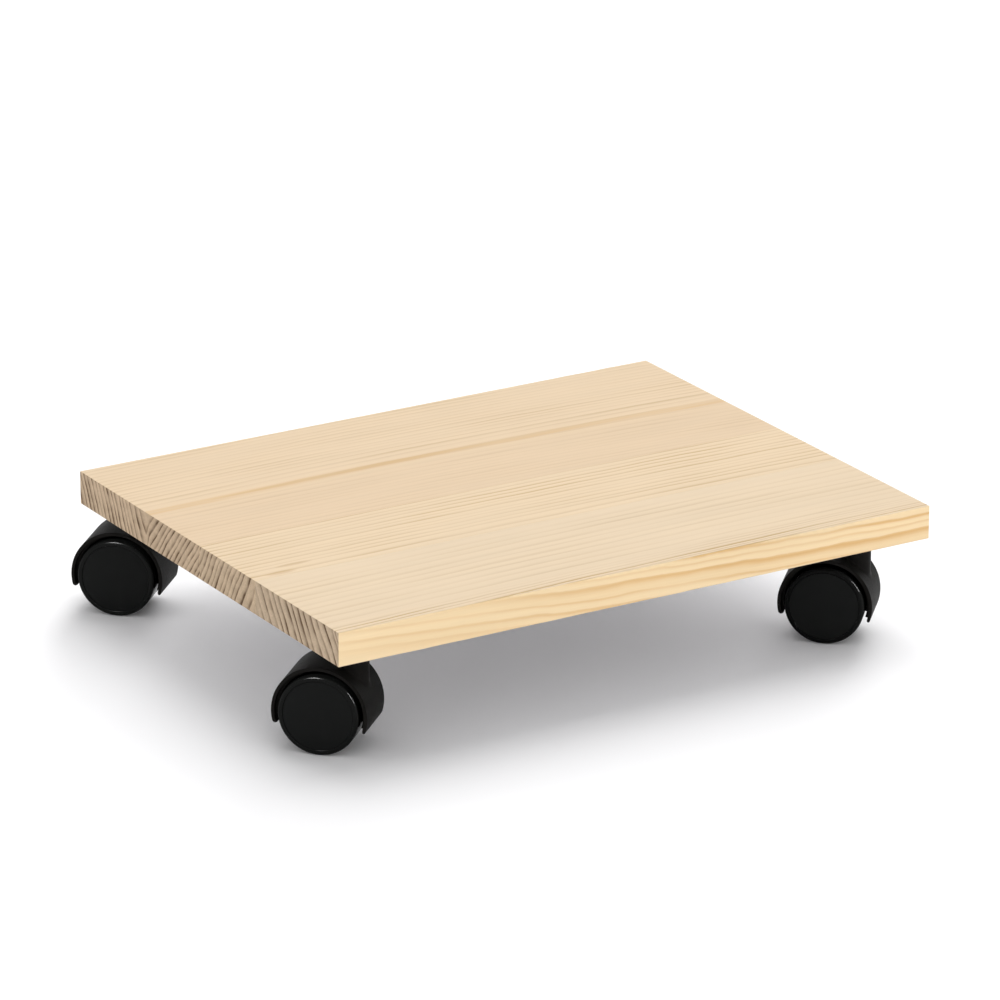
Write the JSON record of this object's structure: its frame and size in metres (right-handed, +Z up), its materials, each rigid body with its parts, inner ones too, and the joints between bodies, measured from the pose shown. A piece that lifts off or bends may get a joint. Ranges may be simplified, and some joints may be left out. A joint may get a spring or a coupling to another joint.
{
  "type": "plant pot caddy",
  "caption": "Low rectangular plant stand: a thick pine board carried near its corners by black hooded twin-wheel swivel casters.",
  "frame": {"origin": "centre of the deck's top face, where the pot stands", "axes": "+Z up, +X along the deck's long side and the grain, +Y to the deck's rear edge; casters at rest all trail towards -X and +Y"},
  "size_m": [0.3626, 0.2853, 0.074],
  "materials": {
    "pine": "planed and sanded, unfinished or clear matt",
    "black_nylon_hood": "fine moulded texture",
    "black_nylon_wheel": "satin",
    "black_nylon_cover": "fine moulded texture",
    "acetal": "smooth",
    "zinc_plate": "zinc plated",
    "zinc_screw": "zinc plated",
    "steel_stem": "turned, zinc plated",
    "steel_axle": "drawn",
    "spring_steel": "oil blackened"
  },
  "bodies": {
    "deck": {"deck_stave_rear": "pine", "deck_stave_middle": "pine", "deck_stave_front": "pine", "front_left_mounting_plate": "zinc_plate", "front_left_swivel_stem": "steel_stem", "front_left_snap_ring": "spring_steel", "front_left_screw_1": "zinc_screw", "front_left_screw_2": "zinc_screw", "front_left_screw_3": "zinc_screw", "front_left_screw_4": "zinc_screw", "front_right_mounting_plate": "zinc_plate", "front_right_swivel_stem": "steel_stem", "front_right_snap_ring": "spring_steel", "front_right_screw_1": "zinc_screw", "front_right_screw_2": "zinc_screw", "front_right_screw_3": "zinc_screw", "front_right_screw_4": "zinc_screw", "rear_left_mounting_plate": "zinc_plate", "rear_left_swivel_stem": "steel_stem", "rear_left_snap_ring": "spring_steel", "rear_left_screw_1": "zinc_screw", "rear_left_screw_2": "zinc_screw", "rear_left_screw_3": "zinc_screw", "rear_left_screw_4": "zinc_screw", "rear_right_mounting_plate": "zinc_plate", "rear_right_swivel_stem": "steel_stem", "rear_right_snap_ring": "spring_steel", "rear_right_screw_1": "zinc_screw", "rear_right_screw_2": "zinc_screw", "rear_right_screw_3": "zinc_screw", "rear_right_screw_4": "zinc_screw"},
    "front_left_fork": {"front_left_hood": "black_nylon_hood", "front_left_swivel_sleeve": "acetal", "front_left_axle": "steel_axle"},
    "front_left_roller_a": {"front_left_wheel_a": "black_nylon_wheel", "front_left_wheel_cover_a": "black_nylon_cover"},
    "front_left_roller_b": {"front_left_wheel_b": "black_nylon_wheel", "front_left_wheel_cover_b": "black_nylon_cover"},
    "front_right_fork": {"front_right_hood": "black_nylon_hood", "front_right_swivel_sleeve": "acetal", "front_right_axle": "steel_axle"},
    "front_right_roller_a": {"front_right_wheel_a": "black_nylon_wheel", "front_right_wheel_cover_a": "black_nylon_cover"},
    "front_right_roller_b": {"front_right_wheel_b": "black_nylon_wheel", "front_right_wheel_cover_b": "black_nylon_cover"},
    "rear_left_fork": {"rear_left_hood": "black_nylon_hood", "rear_left_swivel_sleeve": "acetal", "rear_left_axle": "steel_axle"},
    "rear_left_roller_a": {"rear_left_wheel_a": "black_nylon_wheel", "rear_left_wheel_cover_a": "black_nylon_cover"},
    "rear_left_roller_b": {"rear_left_wheel_b": "black_nylon_wheel", "rear_left_wheel_cover_b": "black_nylon_cover"},
    "rear_right_fork": {"rear_right_hood": "black_nylon_hood", "rear_right_swivel_sleeve": "acetal", "rear_right_axle": "steel_axle"},
    "rear_right_roller_a": {"rear_right_wheel_a": "black_nylon_wheel", "rear_right_wheel_cover_a": "black_nylon_cover"},
    "rear_right_roller_b": {"rear_right_wheel_b": "black_nylon_wheel", "rear_right_wheel_cover_b": "black_nylon_cover"}
  },
  "joints": [
    {"name": "front_left_swivel", "type": "hinge", "parent": "deck", "child": "front_left_fork", "pos_m": [-0.1499, -0.1074, -0.03], "axis": [0, 0, 1], "continuous": true},
    {"name": "front_left_wheel_a_spin", "type": "hinge", "parent": "front_left_fork", "child": "front_left_roller_a", "pos_m": [-0.15962, -0.09705, -0.05325], "axis": [0.729, 0.6845, 0], "continuous": true},
    {"name": "front_left_wheel_b_spin", "type": "hinge", "parent": "front_left_fork", "child": "front_left_roller_b", "pos_m": [-0.15962, -0.09705, -0.05325], "axis": [0.729, 0.6845, 0], "continuous": true},
    {"name": "front_right_swivel", "type": "hinge", "parent": "deck", "child": "front_right_fork", "pos_m": [0.148, -0.1097, -0.03], "axis": [0, 0, 1], "continuous": true},
    {"name": "front_right_wheel_a_spin", "type": "hinge", "parent": "front_right_fork", "child": "front_right_roller_a", "pos_m": [0.13763, -0.1, -0.05325], "axis": [0.6833, 0.7302, 0], "continuous": true},
    {"name": "front_right_wheel_b_spin", "type": "hinge", "parent": "front_right_fork", "child": "front_right_roller_b", "pos_m": [0.13763, -0.1, -0.05325], "axis": [0.6833, 0.7302, 0], "continuous": true},
    {"name": "rear_left_swivel", "type": "hinge", "parent": "deck", "child": "rear_left_fork", "pos_m": [-0.1462, 0.112, -0.03], "axis": [0, 0, 1], "continuous": true},
    {"name": "rear_left_wheel_a_spin", "type": "hinge", "parent": "rear_left_fork", "child": "rear_left_roller_a", "pos_m": [-0.15624, 0.12204, -0.05325], "axis": [0.7071, 0.7071, 0], "continuous": true},
    {"name": "rear_left_wheel_b_spin", "type": "hinge", "parent": "rear_left_fork", "child": "rear_left_roller_b", "pos_m": [-0.15624, 0.12204, -0.05325], "axis": [0.7071, 0.7071, 0], "continuous": true},
    {"name": "rear_right_swivel", "type": "hinge", "parent": "deck", "child": "rear_right_fork", "pos_m": [0.1478, 0.111, -0.03], "axis": [0, 0, 1], "continuous": true},
    {"name": "rear_right_wheel_a_spin", "type": "hinge", "parent": "rear_right_fork", "child": "rear_right_roller_a", "pos_m": [0.13785, 0.12113, -0.05325], "axis": [0.7133, 0.7009, 0], "continuous": true},
    {"name": "rear_right_wheel_b_spin", "type": "hinge", "parent": "rear_right_fork", "child": "rear_right_roller_b", "pos_m": [0.13785, 0.12113, -0.05325], "axis": [0.7133, 0.7009, 0], "continuous": true}
  ]
}
